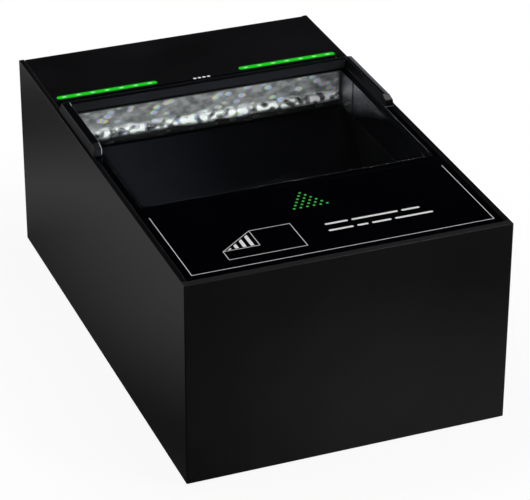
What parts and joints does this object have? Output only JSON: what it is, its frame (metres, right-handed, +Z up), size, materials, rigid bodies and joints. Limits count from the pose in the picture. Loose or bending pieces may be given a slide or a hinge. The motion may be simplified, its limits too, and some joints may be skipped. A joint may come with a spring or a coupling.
{
  "type": "passport reader",
  "caption": "Desktop passport reader: a low black box with a flush glass scan window, a raised document guide round its rear, and green indicator lights.",
  "frame": {"origin": "on the table under the middle of the casing, between the four feet", "axes": "+X to the right seen from the front, +Y from the front to the rear of the reader, +Z up"},
  "size_m": [0.142, 0.2224, 0.0992],
  "materials": {
    "casing": "fine satin texture, black",
    "gloss_panel": "polished black",
    "bezel": "smooth satin, black",
    "window_glass": "polished, clear",
    "antenna_film": "black film over copper",
    "foam": "matte, black",
    "foil": "crinkled, bright",
    "mirror": "polished, dark",
    "steel": "plated",
    "black_steel": "powder coated, black",
    "black_metal": "anodised, black",
    "circuit_board": "green solder mask",
    "green_light": "clear, lit green",
    "black_plastic": "moulded, black",
    "aluminium": "extruded, bare",
    "rubber": "matte, black",
    "ribbon": "white film"
  },
  "bodies": {
    "root": {"housing": "casing", "base_plate": "black_steel", "rear_panel": "casing", "rear_deck": "casing", "front_panel": "gloss_panel", "window_bezel": "bezel", "document_guide": "bezel", "glass_pane": "window_glass", "antenna_loop": "antenna_film", "glass_gasket": "foam", "light_box_front": "foil", "light_box_rear": "foil", "light_box_left": "foil", "light_box_right": "foil", "lamp_board": "circuit_board", "mirror": "mirror", "optics_bracket_left": "black_steel", "optics_bracket_right": "black_steel", "camera_bracket": "steel", "camera_board": "circuit_board", "lens_mount": "black_plastic", "lens_barrel": "black_metal", "lens": "window_glass", "camera_ribbon": "ribbon", "light_strip_left": "green_light", "light_strip_right": "green_light", "indicator_board": "circuit_board", "pointer_light_guide": "green_light", "pointer_board": "circuit_board", "main_board": "circuit_board", "processor": "black_plastic", "heat_sink": "aluminium", "radio_shield": "steel", "buzzer": "black_plastic", "usb_socket": "steel", "power_socket": "black_plastic", "foot_front_left": "rubber", "foot_front_right": "rubber", "foot_rear_left": "rubber", "foot_rear_right": "rubber", "base_screw_front_left": "steel", "base_screw_front_right": "steel", "base_screw_rear_left": "steel", "base_screw_rear_right": "steel", "rear_screw_left": "steel", "rear_screw_right": "steel", "board_screw_1": "steel", "board_screw_2": "steel", "board_screw_3": "steel", "board_screw_4": "steel"}
  },
  "joints": []
}
